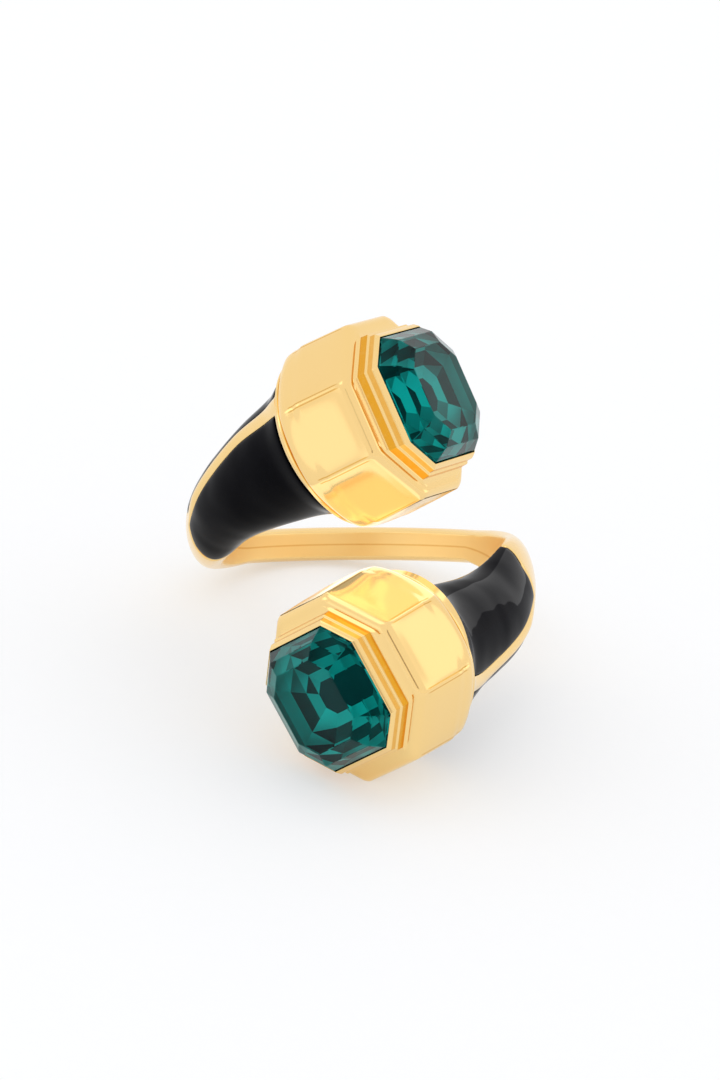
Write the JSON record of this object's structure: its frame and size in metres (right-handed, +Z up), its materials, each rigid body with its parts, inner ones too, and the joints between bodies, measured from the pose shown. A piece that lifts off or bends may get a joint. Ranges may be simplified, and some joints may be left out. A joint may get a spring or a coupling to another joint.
{
  "type": "finger ring",
  "caption": "Open bypass finger ring in gold with black enamel on both arms and an octagonal green step-cut stone in a faceted drum on each end.",
  "frame": {"origin": "middle of the box's footprint, on the surface that the ring lies on", "axes": "+Z up from that surface, +Y along the long side from the two heads to the back of the band, +X across the ring"},
  "size_m": [0.022, 0.0326, 0.0253],
  "materials": {
    "gold": "polished gold plating",
    "enamel": "glossy black enamel",
    "stone": "polished green glass"
  },
  "bodies": {
    "root": {"ring_body": "gold", "upper_gap_enamel": "enamel", "upper_outer_enamel": "enamel", "lower_gap_enamel": "enamel", "lower_outer_enamel": "enamel", "upper_stone": "stone", "lower_stone": "stone"}
  },
  "joints": []
}
